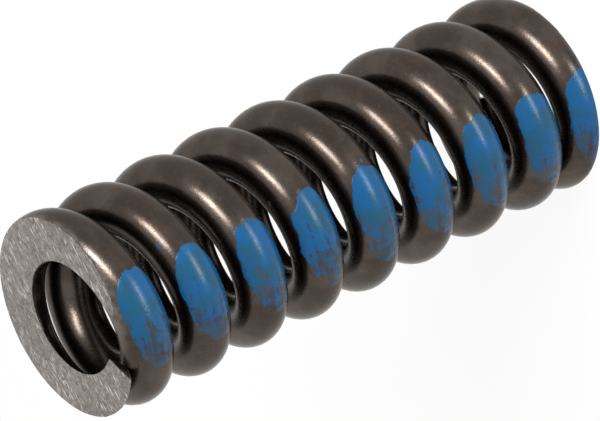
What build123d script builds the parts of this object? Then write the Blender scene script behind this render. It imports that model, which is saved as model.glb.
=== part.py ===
"""Die spring of heavy round wire, both ends closed and ground flat.

The spring is one right-handed coil that stands on its ground bottom end. The origin is the centre
of that end, and +Z runs up the spring's axis. All sizes are in millimetres.
"""
import os
from math import cos, sin, tau

from build123d import *

# Driving sizes
outside_diameter = 31.7  # over the coils, easy in a 32 mm pocket
wire_diameter = 7.6  # round wire, which leaves 16.5 mm inside for a 16 mm guide rod
coil_gap = 3.0  # clear height between two open coils
closed_gap = 0.15  # clear height between the wire's tip and the coil that it is closed down on
total_turns = 9.38  # from tip to tip, end coils included
closed_turns = 0.35  # stretch from each tip that is wound at the closed pitch
opening_turns = 1.0  # stretch over which the pitch then grows from closed to open
tip_thickness = 1.0  # of the wire that grinding leaves at each tip, on its centre line
tip_bearing = -145.0  # direction of the upper tip about the axis, in degrees from +X
bends_per_turn = 8  # the wire's centre line is a chain of this many arcs in each turn

# Sizes that follow
mean_radius = (outside_diameter - wire_diameter) / 2
open_pitch = wire_diameter + coil_gap
closed_rise = wire_diameter + closed_gap


def opened_turns(turn):
    """Open turns that the pitch law counts this many turns from a tip.

    The pitch opens as 3 s^2 - 2 s^3 along its stretch, so the wire bends smoothly into the coil,
    and this is the sum of that opening from the tip.
    """
    beyond = max(turn - closed_turns, 0)
    s = min(beyond / opening_turns, 1)
    return opening_turns * (s**3 - s**4 / 2) + max(beyond - opening_turns, 0)


# The first turn has to rise by just enough to clear the tip that lies beside its end.
opened_in_first_turn = opened_turns(1)
closed_pitch = (closed_rise - open_pitch * opened_in_first_turn) / (1 - opened_in_first_turn)


def rise(turn):
    """Height that the wire's centre gains over its first turns from a tip."""
    return closed_pitch * turn + (open_pitch - closed_pitch) * opened_turns(turn)


# Grinding takes off all that stands beyond the tip's thickness, at both ends alike.
tip_height = tip_thickness - wire_diameter / 2
full_rise = 2 * rise(total_turns / 2)
free_length = full_rise + 2 * tip_height


def bearing(turn):
    """Angle of the wire's centre about the axis, in radians, counted in turns from the bottom tip."""
    return tau * (turn - total_turns + tip_bearing / 360)


def wire_centre(turn):
    """Point on the wire's centre line, counted in turns from the bottom tip."""
    if turn < total_turns / 2:
        height = rise(turn)
    else:
        height = full_rise - rise(total_turns - turn)
    return (mean_radius * cos(bearing(turn)), mean_radius * sin(bearing(turn)), tip_height + height)


bends = round(total_turns * bends_per_turn)
bend_ends = [wire_centre(total_turns * bend / bends) for bend in range(bends + 1)]
start_angle = bearing(0)
round_trip = tau * mean_radius
start_direction = (-round_trip * sin(start_angle), round_trip * cos(start_angle), closed_pitch)

# The wire is wound as a full round bar, then both ends are ground square to the axis.
with BuildPart() as die_spring:
    with BuildLine() as centre_line:
        direction = start_direction
        for bend_start, bend_end in zip(bend_ends, bend_ends[1:]):
            bend = TangentArc(bend_start, bend_end, tangent=direction)
            direction = bend % 1
    with BuildSketch(Plane(origin=centre_line.line @ 0, z_dir=centre_line.line % 0)):
        Circle(wire_diameter / 2)
    sweep(path=centre_line.line)
    split(bisect_by=Plane.XY, keep=Keep.TOP)
    split(bisect_by=Plane.XY.offset(free_length), keep=Keep.BOTTOM)

die_spring.part.label = "die_spring"

os.makedirs("parts", exist_ok=True)
export_step(die_spring.part, "parts/die_spring.step")
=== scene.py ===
# %% [markdown]
# # A die spring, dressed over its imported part
# A die spring is one heavy wire, coiled, with both ends closed and ground flat so that it stands
# upright and pushes squarely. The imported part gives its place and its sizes, so everything here
# starts from the frame: the script measures it, then models the wire more finely around it.

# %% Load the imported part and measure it
from math import atan, cos, degrees, hypot, pi, radians, sin, tau

import bmesh
import bpy
from mathutils import Matrix, Vector


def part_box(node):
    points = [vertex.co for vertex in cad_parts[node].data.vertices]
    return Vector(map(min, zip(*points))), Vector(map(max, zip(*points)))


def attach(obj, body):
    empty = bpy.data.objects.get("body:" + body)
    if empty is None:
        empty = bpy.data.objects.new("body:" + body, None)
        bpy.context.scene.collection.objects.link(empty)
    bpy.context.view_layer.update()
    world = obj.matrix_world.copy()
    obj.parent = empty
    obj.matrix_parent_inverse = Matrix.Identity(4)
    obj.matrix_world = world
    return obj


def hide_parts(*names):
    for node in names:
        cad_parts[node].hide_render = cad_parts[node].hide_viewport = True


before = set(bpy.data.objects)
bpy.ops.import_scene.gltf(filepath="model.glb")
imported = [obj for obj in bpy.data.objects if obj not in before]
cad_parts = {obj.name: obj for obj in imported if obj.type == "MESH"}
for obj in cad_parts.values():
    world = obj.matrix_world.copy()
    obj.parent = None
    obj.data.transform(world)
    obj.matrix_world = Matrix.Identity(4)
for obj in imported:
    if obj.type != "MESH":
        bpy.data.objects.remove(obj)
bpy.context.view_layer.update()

spring_low, spring_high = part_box("die_spring")
outside_diameter = spring_high.x - spring_low.x
free_length = spring_high.z - spring_low.z
millimetre = 0.001

print(f"over the coils {outside_diameter / millimetre:.2f} mm")
print(f"free length {free_length / millimetre:.2f} mm")

# %% [markdown]
# ## How the wire is wound
# Between its closed ends the spring has one open pitch. At each end the pitch shrinks until the
# tip of the wire lies on the next coil. The few winding sizes below are the maker's, and the open
# pitch is then whatever makes the coils fill the free length. Working it out, and not typing it in,
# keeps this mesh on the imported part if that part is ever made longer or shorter.

# %% Winding sizes
wire_diameter = 7.6 * millimetre
closed_gap = 0.15 * millimetre  # between the tip and the coil that it is closed down on
tip_thickness = 1.0 * millimetre  # of wire that grinding leaves at the tip
total_turns = 9.38
closed_turns = 0.35  # wound at the closed pitch, from each tip
opening_turns = 1.0  # over which the pitch grows from closed to open
tip_bearing = radians(-145)  # of the upper tip, from +X

wire_radius = wire_diameter / 2
mean_radius = outside_diameter / 2 - wire_radius
tip_height = tip_thickness - wire_radius


def opened_turns(turn):
    """Turns wound at the open pitch by this turn, counted from a tip."""
    beyond = max(turn - closed_turns, 0)
    share = min(beyond / opening_turns, 1)
    return opening_turns * (share**3 - share**4 / 2) + max(beyond - opening_turns, 0)


closed_rise = wire_diameter + closed_gap
half_turns = total_turns / 2
half_rise = free_length / 2 - tip_height
opened_first = opened_turns(1)
closed_share = (half_turns - opened_turns(half_turns)) / (1 - opened_first)
open_pitch = ((half_rise - closed_rise * closed_share)
              / (opened_turns(half_turns) - opened_first * closed_share))
closed_pitch = (closed_rise - open_pitch * opened_first) / (1 - opened_first)


def wire_height(turn):
    """Height of the wire's centre line, by the turn from the lower tip."""
    from_tip = min(turn, total_turns - turn)
    rise = closed_pitch * from_tip + (open_pitch - closed_pitch) * opened_turns(from_tip)
    return tip_height + rise if turn < half_turns else free_length - tip_height - rise


print(f"open pitch {open_pitch / millimetre:.2f} mm, closed {closed_pitch / millimetre:.2f} mm")

# %% [markdown]
# ## Winding the coil
# A coil could be a curve with a round bevel, or a Screw modifier on a circle. Both keep one pitch
# or need the turns typed in as points. Spinning a circle with bmesh in small steps lets each step
# climb by its own amount, just as a coiling machine does. The circle stands in a plane through
# the axis, so it is made a little taller than wide: the wire crosses that plane at a slant.
#
# Every vertex also remembers its place on the wire as if it were pulled straight. Drawing marks
# can then run along the wire, as on real wire, however it is wound.

# %% Spin the wire round, one small step at a time
wire_sides = 48
steps_per_turn = 72


def wind_wire(bm):
    """The round wire from tip to tip, with its ends capped."""
    unwound = bm.verts.layers.float_vector.new("unwound")
    lead = atan(open_pitch / (tau * mean_radius))
    section_height = 1 / cos(lead)
    start = Matrix.Rotation(tip_bearing - tau * total_turns, 4, "Z")
    section = (start @ Matrix.Translation((mean_radius, 0, tip_height))
               @ Matrix.Diagonal((1, 1, section_height, 1)) @ Matrix.Rotation(pi / 2, 4, "X"))
    ring = bmesh.ops.create_circle(bm, segments=wire_sides, radius=wire_radius, matrix=section)["verts"]
    ring += list({edge for vert in ring for edge in vert.link_edges})
    steps = round(total_turns * steps_per_turn)
    turn = 0
    for step in range(steps + 1):
        for part in ring:
            if isinstance(part, bmesh.types.BMVert):
                sideways = hypot(part.co.x, part.co.y) - mean_radius
                upwards = (part.co.z - wire_height(turn)) / section_height
                part[unwound] = (turn * tau * mean_radius / cos(lead), sideways, upwards)
        if step < steps:
            next_turn = total_turns * (step + 1) / steps
            climb = wire_height(next_turn) - wire_height(turn)
            spun = bmesh.ops.spin(bm, geom=ring, cent=(0, 0, 0), axis=(0, 0, 1), dvec=(0, 0, climb),
                                  angle=tau * (next_turn - turn), steps=1)
            ring = spun["geom_last"]
            turn = next_turn
    bmesh.ops.remove_doubles(bm, verts=bm.verts, dist=0.001 * millimetre)
    bmesh.ops.holes_fill(bm, edges=[edge for edge in bm.edges if edge.is_boundary], sides=0)
    bmesh.ops.recalc_face_normals(bm, faces=bm.faces)


coil_bm = bmesh.new()
wind_wire(coil_bm)
print(f"wound {len(coil_bm.faces)} faces")

# %% [markdown]
# ## Grinding the ends
# The ends are ground after winding, so they are made the same way here: a plane bisects the mesh at
# each end and what lies beyond it is cleared. The cut is filled with one flat face, which gets the
# second material, because grinding takes off the dark skin and leaves bright steel. A very small
# bevel then takes off the razor edge, as tumbling does, and lets the rim catch the light.

# %% Cut both ends flat
ground_finish = 1
edge_break = 0.12 * millimetre


def grind(bm, height, outwards):
    """Cut the coil at a height and close the cut with a ground face."""
    cut = bmesh.ops.bisect_plane(bm, geom=bm.verts[:] + bm.edges[:] + bm.faces[:], dist=1e-7,
                                 plane_co=(0, 0, height), plane_no=(0, 0, outwards), clear_outer=True)
    rim = [edge for edge in cut["geom_cut"] if isinstance(edge, bmesh.types.BMEdge) and edge.is_boundary]
    filled = bmesh.ops.holes_fill(bm, edges=rim, sides=0)["faces"]
    for face in filled:
        face.material_index = ground_finish
    return sum(face.calc_area() for face in filled)


def break_edges(bm):
    """Take the razor edge off round each ground face."""
    rims = [edge for edge in bm.edges
            if sum(face.material_index == ground_finish for face in edge.link_faces) == 1]
    bmesh.ops.bevel(bm, geom=rims, offset=edge_break, offset_type="OFFSET", segments=2, profile=0.5,
                    affect="EDGES", clamp_overlap=False, material=-1)


lower_land = grind(coil_bm, 0, -1)
upper_land = grind(coil_bm, free_length, 1)
break_edges(coil_bm)
print(f"ground {lower_land / millimetre**2:.0f} and {upper_land / millimetre**2:.0f} mm2")

# %% [markdown]
# ## The finished mesh
# Round wire is shaded smooth, but a ground edge is crisp. Marking the edges where faces meet at a
# steep angle as sharp keeps both on one mesh. The coil rides on the root body, and the imported
# part of the spring is hidden in its place.

# %% Make the coil an object
sharp_from = radians(35)


def spring_object(bm):
    """The coil's object, shaded smooth between its sharp edges."""
    bmesh.ops.recalc_face_normals(bm, faces=bm.faces)
    for face in bm.faces:
        face.smooth = True
    for edge in bm.edges:
        edge.smooth = edge.calc_face_angle(0) < sharp_from
    mesh = bpy.data.meshes.new("spring_coil")
    bm.to_mesh(mesh)
    bm.free()
    coil = bpy.data.objects.new("spring_coil", mesh)
    bpy.context.scene.collection.objects.link(coil)
    return coil


spring_coil = spring_object(coil_bm)
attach(spring_coil, "root")
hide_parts("die_spring")
print(f"{len(spring_coil.data.polygons)} faces on the coil")

# %% [markdown]
# ## A few helpers for node materials
# A finish is a small net of nodes. Three helpers keep the nets readable: one adds a node and sets
# or links its inputs by name, one makes a noise at a size given in millimetres, and one turns a
# value into a soft-edged mask.

# %% Node helpers
def add(tree, kind, settings=None, **inputs):
    """A new node: settings are its own options, inputs are values or sockets."""
    node = tree.nodes.new(kind)
    for name, value in (settings or {}).items():
        setattr(node, name, value)
    for name, value in inputs.items():
        socket = node.inputs[int(name[1:])] if name[0] == "_" else node.inputs[name.replace("_", " ")]
        if isinstance(value, bpy.types.NodeSocket):
            tree.links.new(value, socket)
        else:
            socket.default_value = value
    return node


def maths(tree, operation, first, second=0.0):
    """One sum, as a socket."""
    return add(tree, "ShaderNodeMath", {"operation": operation}, _0=first, _1=second).outputs[0]


def noise(tree, place, size, detail=3.0, roughness=0.55):
    """Noise whose blotches are about this many millimetres across."""
    return add(tree, "ShaderNodeTexNoise", Vector=place, Scale=1 / (size * millimetre),
               Detail=detail, Roughness=roughness).outputs["Fac"]


def mask(tree, value, start, end):
    """0 up to start, 1 from end, and a smooth step between."""
    return add(tree, "ShaderNodeMapRange", {"interpolation_type": "SMOOTHSTEP"}, Value=value,
               From_Min=start, From_Max=end).outputs["Result"]


def blend(tree, factor, first, second):
    """A colour between two colours or sockets."""
    node = add(tree, "ShaderNodeMix", {"data_type": "RGBA"})
    for socket, value in zip((node.inputs[0], node.inputs[6], node.inputs[7]), (factor, first, second)):
        if isinstance(value, bpy.types.NodeSocket):
            tree.links.new(value, socket)
        else:
            socket.default_value = value
    return node.outputs[2]


def new_finish(name):
    """An empty material with its shader, and the tree to build on."""
    material = bpy.data.materials.new(name)
    material.use_nodes = True
    return material, material.node_tree, material.node_tree.nodes["Principled BSDF"]


print("node helpers ready")

# %% [markdown]
# ## Where the colour code goes
# Die springs are marked with a stripe of paint that tells their load class. It is laid on with a
# flat pad drawn along the spring, which only touches the outermost part of each coil. How far a
# point lies towards the pad therefore says whether it is painted, and on round wire that one rule
# gives the long ovals seen on such springs. Noise makes their edges ragged and the film patchy.

# %% Paint mask
stripe_bearing = radians(-109.5)  # at the upper end
stripe_slant = radians(11)  # that the pad was turned by, over the spring's length
stripe_depth = 2.1 * millimetre  # that the pad presses past the outside of the coils
dry_after = radians(5)  # past the middle of the stripe the pad runs dry
dry_over = radians(24)


def paint_mask(tree, place, drawn):
    """1 where the stripe of paint lies, 0 on bare wire."""
    axes = add(tree, "ShaderNodeSeparateXYZ", Vector=place)
    bearing = maths(tree, "ARCTAN2", axes.outputs[1], axes.outputs[0])
    across = maths(tree, "MULTIPLY", axes.outputs[0], axes.outputs[0])
    along = maths(tree, "MULTIPLY", axes.outputs[1], axes.outputs[1])
    radius = maths(tree, "SQRT", maths(tree, "ADD", across, along))
    slant = maths(tree, "MULTIPLY", axes.outputs[2], stripe_slant / free_length)
    from_stripe = maths(tree, "SUBTRACT", bearing, maths(tree, "ADD", slant, stripe_bearing - stripe_slant))
    reach = maths(tree, "MULTIPLY", radius, maths(tree, "COSINE", from_stripe))
    depth = maths(tree, "SUBTRACT", reach, outside_diameter / 2 - stripe_depth)
    depth = maths(tree, "MULTIPLY", depth, 1 / millimetre)
    wander = maths(tree, "MULTIPLY", maths(tree, "SUBTRACT", noise(tree, place, 3.5, detail=1.0), 0.5), 1.4)
    ragged = noise(tree, place, 0.5, detail=3.0, roughness=0.6)
    ragged = maths(tree, "MULTIPLY", maths(tree, "SUBTRACT", ragged, 0.5), 0.5)
    edge = maths(tree, "ADD", depth, maths(tree, "ADD", wander, ragged))
    stripe = mask(tree, edge, -0.05, 0.10)
    dryness = mask(tree, from_stripe, dry_over - dry_after, -dry_over - dry_after)
    brushed = maths(tree, "ADD", maths(tree, "MULTIPLY", noise(tree, drawn, 0.7, detail=4.0, roughness=0.6), 0.45),
                    maths(tree, "MULTIPLY", noise(tree, place, 1.1, detail=5.0, roughness=0.7), 0.55))
    limit = maths(tree, "ADD", maths(tree, "MULTIPLY", dryness, 0.18), 0.345)
    film = mask(tree, maths(tree, "SUBTRACT", brushed, limit), -0.07, 0.09)
    stain = maths(tree, "MULTIPLY", mask(tree, noise(tree, place, 2.4), 0.35, 0.6), 0.34)
    laid = maths(tree, "MULTIPLY", stripe, maths(tree, "MAXIMUM", film, stain))
    near_stripe = mask(tree, depth, -4.5, -1.5)
    drops = mask(tree, noise(tree, place, 1.7, detail=1.0), 0.765, 0.775)
    return maths(tree, "MAXIMUM", laid, maths(tree, "MULTIPLY", drops, near_stripe))


print(f"stripe pressed on {stripe_depth / millimetre:.1f} mm deep")

# %% [markdown]
# ## Dark peened wire with its stripe
# The wire was shot-peened and oil-tempered: a very dark brown skin, pocked by fine dents, with
# lighter dust in the dents and faint drawing marks along the wire. One shader carries the bare
# wire and the paint. The mask moves the colour, the metallic value, the oil film and the relief
# together, so the stripe reads as a film on the steel and the whole piece can be baked as one finish.

# %% Wire finish
steel_dull = (0.145, 0.125, 0.110, 1)
oil_film = 0.4  # share of the bare wire that a thin clear film of oil covers
burnish_depth = 0.9 * millimetre  # down the wire from a ground end, where the wheel rubbed the skin
skin_brown = (0.040, 0.028, 0.021, 1)
skin_worn = (0.072, 0.055, 0.044, 1)
skin_rusty = (0.085, 0.045, 0.027, 1)
dent_dust = (0.34, 0.31, 0.29, 1)
paint_blue = (0.003, 0.088, 0.235, 1)
paint_teal = (0.007, 0.078, 0.150, 1)


def wire_finish():
    """Dark brown peened steel, painted where the mask says."""
    material, tree, shader = new_finish("peened_dark_wire")
    place = add(tree, "ShaderNodeTexCoord").outputs["Object"]
    unwound = add(tree, "ShaderNodeAttribute", {"attribute_name": "unwound"}).outputs["Vector"]
    drawn = add(tree, "ShaderNodeMapping", Vector=unwound, Scale=(0.06, 1, 1)).outputs["Vector"]
    painted = paint_mask(tree, place, drawn)

    worn = mask(tree, noise(tree, place, 6.0, detail=4.0), 0.42, 0.68)
    rusty = mask(tree, noise(tree, place, 2.6, detail=3.0), 0.56, 0.70)
    dusty = mask(tree, noise(tree, place, 0.32, detail=2.0), 0.60, 0.72)
    streaks = mask(tree, noise(tree, drawn, 0.5, detail=2.0), 0.56, 0.72)
    skin = blend(tree, worn, skin_brown, skin_worn)
    skin = blend(tree, maths(tree, "MULTIPLY", rusty, 0.4), skin, skin_rusty)
    skin = blend(tree, maths(tree, "MULTIPLY", streaks, 0.25), skin, skin_worn)
    skin = blend(tree, maths(tree, "MULTIPLY", dusty, 0.10), skin, dent_dust)
    height = add(tree, "ShaderNodeSeparateXYZ", Vector=place).outputs[2]
    from_middle = maths(tree, "ABSOLUTE", maths(tree, "SUBTRACT", height, free_length / 2))
    near_end = mask(tree, from_middle, free_length / 2 - burnish_depth, free_length / 2)
    burnish = maths(tree, "MULTIPLY", near_end, mask(tree, noise(tree, place, 1.2), 0.25, 0.6))
    skin = blend(tree, burnish, skin, steel_dull)
    film = blend(tree, mask(tree, noise(tree, place, 3.0), 0.40, 0.62), paint_blue, paint_teal)
    tree.links.new(blend(tree, painted, skin, film), shader.inputs["Base Color"])

    bare = maths(tree, "SUBTRACT", 1.0, painted)
    tree.links.new(bare, shader.inputs["Metallic"])
    tree.links.new(maths(tree, "MULTIPLY", bare, oil_film), shader.inputs["Coat Weight"])
    gloss = maths(tree, "MULTIPLY", noise(tree, place, 0.8), 0.16)
    tree.links.new(maths(tree, "ADD", gloss, 0.18), shader.inputs["Roughness"])
    shader.inputs["Specular IOR Level"].default_value = 0.42
    shader.inputs["Specular Tint"].default_value = (0.6, 0.58, 0.56, 1)
    shader.inputs["Coat Roughness"].default_value = 0.24

    dents = noise(tree, place, 0.36, detail=3.0)
    relief = maths(tree, "ADD", maths(tree, "MULTIPLY", dents, 0.7), maths(tree, "MULTIPLY", painted, 0.5))
    bump = add(tree, "ShaderNodeBump", Strength=0.7, Distance=0.05 * millimetre, Height=relief)
    tree.links.new(bump.outputs["Normal"], shader.inputs["Normal"])
    return material


spring_coil.data.materials.append(wire_finish())
print("wire finish on")

# %% [markdown]
# ## Ground ends
# A grinding wheel leaves pale steel with a fine matt grain and short scratches that cross at all
# angles. Two stretched noises, turned against each other, stand for the scratches.

# %% Ground finish
steel_pale = (0.285, 0.255, 0.232, 1)
scratch_bright = (0.66, 0.63, 0.60, 1)


def ground_steel():
    """Pale ground steel with crossing scratches."""
    material, tree, shader = new_finish("ground_steel")
    place = add(tree, "ShaderNodeTexCoord").outputs["Object"]
    mottled = mask(tree, noise(tree, place, 0.9, detail=5.0, roughness=0.7), 0.36, 0.66)
    zones = mask(tree, noise(tree, place, 9.0, detail=1.0), 0.35, 0.65)
    grain = mask(tree, noise(tree, place, 0.30, detail=3.0, roughness=0.7), 0.42, 0.66)
    steel = blend(tree, mottled, steel_pale, steel_dull)
    steel = blend(tree, maths(tree, "MULTIPLY", zones, 0.45), steel, steel_dull)
    steel = blend(tree, maths(tree, "MULTIPLY", grain, 0.22), steel, scratch_bright)
    for turned in (8, 52, 97, 141):
        along = add(tree, "ShaderNodeMapping", Vector=place, Rotation=(0, 0, radians(turned)),
                    Scale=(0.14, 1, 1)).outputs["Vector"]
        scratch = mask(tree, noise(tree, along, 0.26, detail=0.5), 0.66, 0.72)
        patch = mask(tree, noise(tree, along, 1.9, detail=1.0), 0.46, 0.56)
        steel = blend(tree, maths(tree, "MULTIPLY", scratch, patch), steel, scratch_bright)
    tree.links.new(steel, shader.inputs["Base Color"])
    shader.inputs["Metallic"].default_value = 1
    tree.links.new(maths(tree, "ADD", maths(tree, "MULTIPLY", mottled, 0.12), 0.38), shader.inputs["Roughness"])
    bump = add(tree, "ShaderNodeBump", Strength=0.5, Distance=0.04 * millimetre, Height=grain)
    tree.links.new(bump.outputs["Normal"], shader.inputs["Normal"])
    return material


spring_coil.data.materials.append(ground_steel())
print("ground finish on")

# %% [markdown]
# ## Floor and surroundings
# The spring stands on a plain white floor in white surroundings. Brightening the lamps until a
# floor clips would also wash out the steel, so white is given by the floor's and the world's own
# colour instead, to the rays that see them directly or by reflection. The floor keeps a share of
# plain paper, which still takes the spring's shadow.

# %% White floor and world
floor_half = 1.5
paper_share = 0.12
white_level = 1.05


def sees_background(tree):
    """1 for rays from the camera, a reflection or a see-through body."""
    path = add(tree, "ShaderNodeLightPath")
    seen = maths(tree, "MAXIMUM", path.outputs["Is Camera Ray"], path.outputs["Is Glossy Ray"])
    return maths(tree, "MAXIMUM", seen, path.outputs["Is Transmission Ray"])


def white_floor():
    """The floor, its top at the spring's lower end."""
    bm = bmesh.new()
    bmesh.ops.create_grid(bm, size=floor_half, matrix=Matrix.Translation((0, 0, spring_low.z)))
    mesh = bpy.data.meshes.new("floor")
    bm.to_mesh(mesh)
    bm.free()
    floor = bpy.data.objects.new("floor", mesh)
    bpy.context.scene.collection.objects.link(floor)
    material, tree, shader = new_finish("white_paper")
    paper = add(tree, "ShaderNodeBsdfDiffuse", Color=(0.85, 0.85, 0.85, 1)).outputs[0]
    white = add(tree, "ShaderNodeEmission", Color=(1, 1, 1, 1), Strength=white_level).outputs[0]
    backlit = add(tree, "ShaderNodeMixShader", Fac=1 - paper_share, _1=paper, _2=white).outputs[0]
    shown = add(tree, "ShaderNodeMixShader", Fac=sees_background(tree), _1=paper, _2=backlit).outputs[0]
    tree.links.new(shown, tree.nodes["Material Output"].inputs["Surface"])
    tree.nodes.remove(shader)
    mesh.materials.append(material)
    return floor


def white_world():
    """White where it is seen, and a softer fill where it lights."""
    world = bpy.data.worlds.new("white_room")
    world.use_nodes = True
    tree = world.node_tree
    background = tree.nodes["Background"]
    level = add(tree, "ShaderNodeMapRange", Value=sees_background(tree), To_Min=0.18, To_Max=1.0)
    background.inputs["Color"].default_value = (1, 1, 1, 1)
    tree.links.new(level.outputs["Result"], background.inputs["Strength"])
    bpy.context.scene.world = world


floor = white_floor()
white_world()
print("floor and world set")

# %% [markdown]
# ## Lamps
# Two long soft lamps light the spring. The main one hangs high on the front right and draws a
# narrow highlight along the top of each coil. The low one fills the front, and shows as a second
# highlight on the stripe of paint. Each lamp is placed by its bearing and its elevation from the
# middle of the spring, which is how a studio plan would give it.

# %% Two strip lamps
spring_middle = Vector((0, 0, (spring_low.z + spring_high.z) / 2))


def strip_lamp(name, bearing, elevation, distance, size, radiance):
    """A rectangular lamp that faces the middle of the spring."""
    width, depth = size
    data = bpy.data.lights.new(name, "AREA")
    data.shape = "RECTANGLE"
    data.size = width
    data.size_y = depth
    data.energy = radiance * pi * width * depth
    lamp = bpy.data.objects.new(name, data)
    bpy.context.scene.collection.objects.link(lamp)
    level = cos(radians(elevation))
    away = Vector((level * cos(radians(bearing)), level * sin(radians(bearing)), sin(radians(elevation))))
    sideways = Vector((0, 0, 1)).cross(away).normalized()
    upwards = away.cross(sideways)
    turned = Matrix((sideways, upwards, away)).transposed().to_4x4()
    lamp.matrix_world = Matrix.Translation(spring_middle + away * distance) @ turned
    lamp.visible_camera = False
    return lamp


strip_lamp("main_strip", bearing=-56, elevation=45, distance=1.5, size=(0.85, 0.30), radiance=27)
strip_lamp("low_strip", bearing=-102, elevation=-17, distance=1.2, size=(0.6, 0.17), radiance=21)
floor.visible_glossy = False
floor.visible_shadow = False
print("lamps set")

# %% [markdown]
# ## Camera
# The camera looks from the front, a little above, with a long lens, so the coils hardly taper. It is
# rolled until the spring lies across the picture from the lower left to the upper right, with its
# upper end nearest.

# %% Camera with a long lens
view_elevation = 0.55141  # radians
view_roll = -2.02784
view_distance = 26.886 * outside_diameter
view_right_shift = 0.01856 * outside_diameter
view_up_shift = 0.04033 * outside_diameter

camera_data = bpy.data.cameras.new("camera")
camera_data.sensor_width = 36
camera_data.lens = 350.3
camera = bpy.data.objects.new("camera", camera_data)
bpy.context.scene.collection.objects.link(camera)
back = Vector((0, -cos(view_elevation), sin(view_elevation)))
level_right = Vector((1, 0, 0))
level_up = back.cross(level_right)
right = cos(view_roll) * level_right + sin(view_roll) * level_up
up = back.cross(right)
camera.matrix_world = (
    Matrix.Translation(spring_middle + back * view_distance - right * view_right_shift - up * view_up_shift)
    @ Matrix((right, up, back)).transposed().to_4x4())
bpy.context.scene.camera = camera
bpy.context.scene.view_settings.view_transform = "Standard"
print(f"camera {view_distance:.2f} m from the spring")
